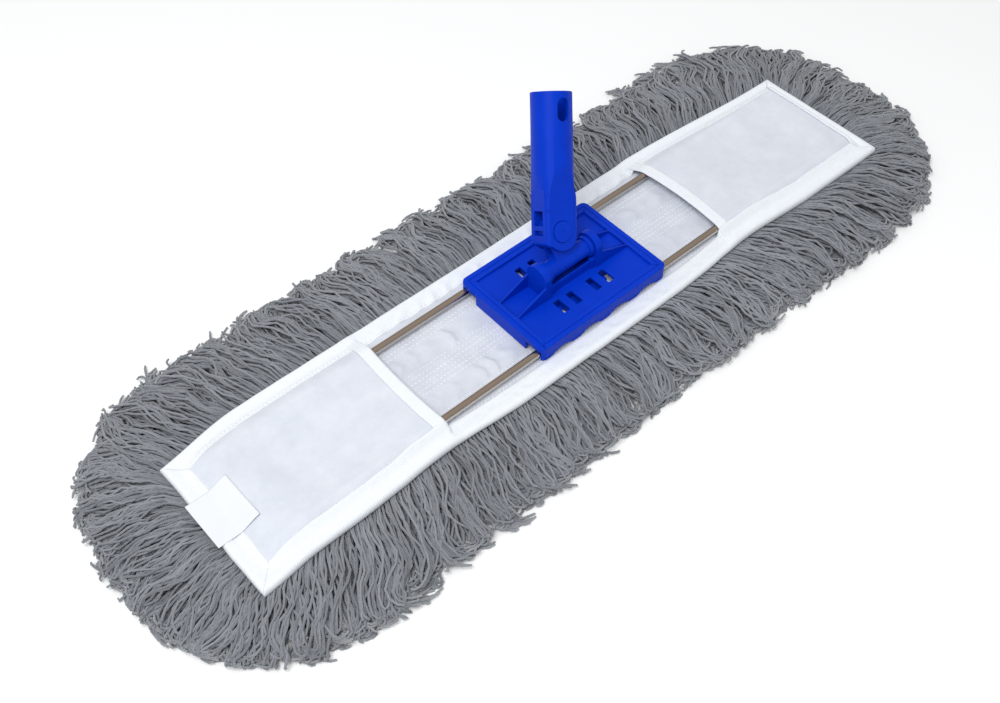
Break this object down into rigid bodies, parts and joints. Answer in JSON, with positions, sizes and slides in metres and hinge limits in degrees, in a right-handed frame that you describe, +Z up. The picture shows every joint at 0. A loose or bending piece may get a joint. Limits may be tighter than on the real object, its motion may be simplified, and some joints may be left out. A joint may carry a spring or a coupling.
{
  "type": "flat mop",
  "caption": "Wide dust mop: a fringed yarn cover with end pockets over a wire frame, and a moulded swivel head with a handle socket.",
  "frame": {"origin": "on the floor, below the centre of the box round the whole mop, which is the centre of the yarn cover", "axes": "+X along the mop toward the pocket without the label, +Y across it toward the side the socket leans to, +Z up"},
  "size_m": [0.768, 0.298, 0.1493],
  "materials": {
    "backing_cloth": "woven, matt",
    "pocket_cloth": "fine plain weave, matt",
    "tape": "ribbed tape, matt",
    "label_cloth": "smooth satin tag",
    "yarn": "twisted cut yarn, matt",
    "steel_wire": "drawn round wire, bright",
    "blue_plastic": "satin moulded"
  },
  "bodies": {
    "mop": {"backing": "backing_cloth", "binding_front": "tape", "binding_back": "tape", "binding_left": "tape", "binding_right": "tape", "pocket_left": "pocket_cloth", "pocket_right": "pocket_cloth", "pocket_hem_left": "tape", "pocket_hem_right": "tape", "care_label": "label_cloth", "fringe_front": "yarn", "fringe_back": "yarn", "fringe_left": "yarn", "fringe_right": "yarn", "pile_row_1": "yarn", "pile_row_2": "yarn", "pile_row_3": "yarn", "wire_frame": "steel_wire", "base_plate": "blue_plastic"},
    "swivel": {"swivel_barrel": "blue_plastic"},
    "socket": {"handle_socket": "blue_plastic", "pivot_pin": "blue_plastic"}
  },
  "joints": [
    {"name": "barrel_swing", "type": "hinge", "parent": "mop", "child": "swivel", "pos_m": [0.0105, 0.004, 0.0445], "axis": [-1, 0, 0], "range_deg": [-110, 40]},
    {"name": "socket_tilt", "type": "hinge", "parent": "swivel", "child": "socket", "pos_m": [0.0105, 0.01777, 0.06416], "axis": [0, 0.8192, -0.5736], "range_deg": [-24, 50]}
  ]
}
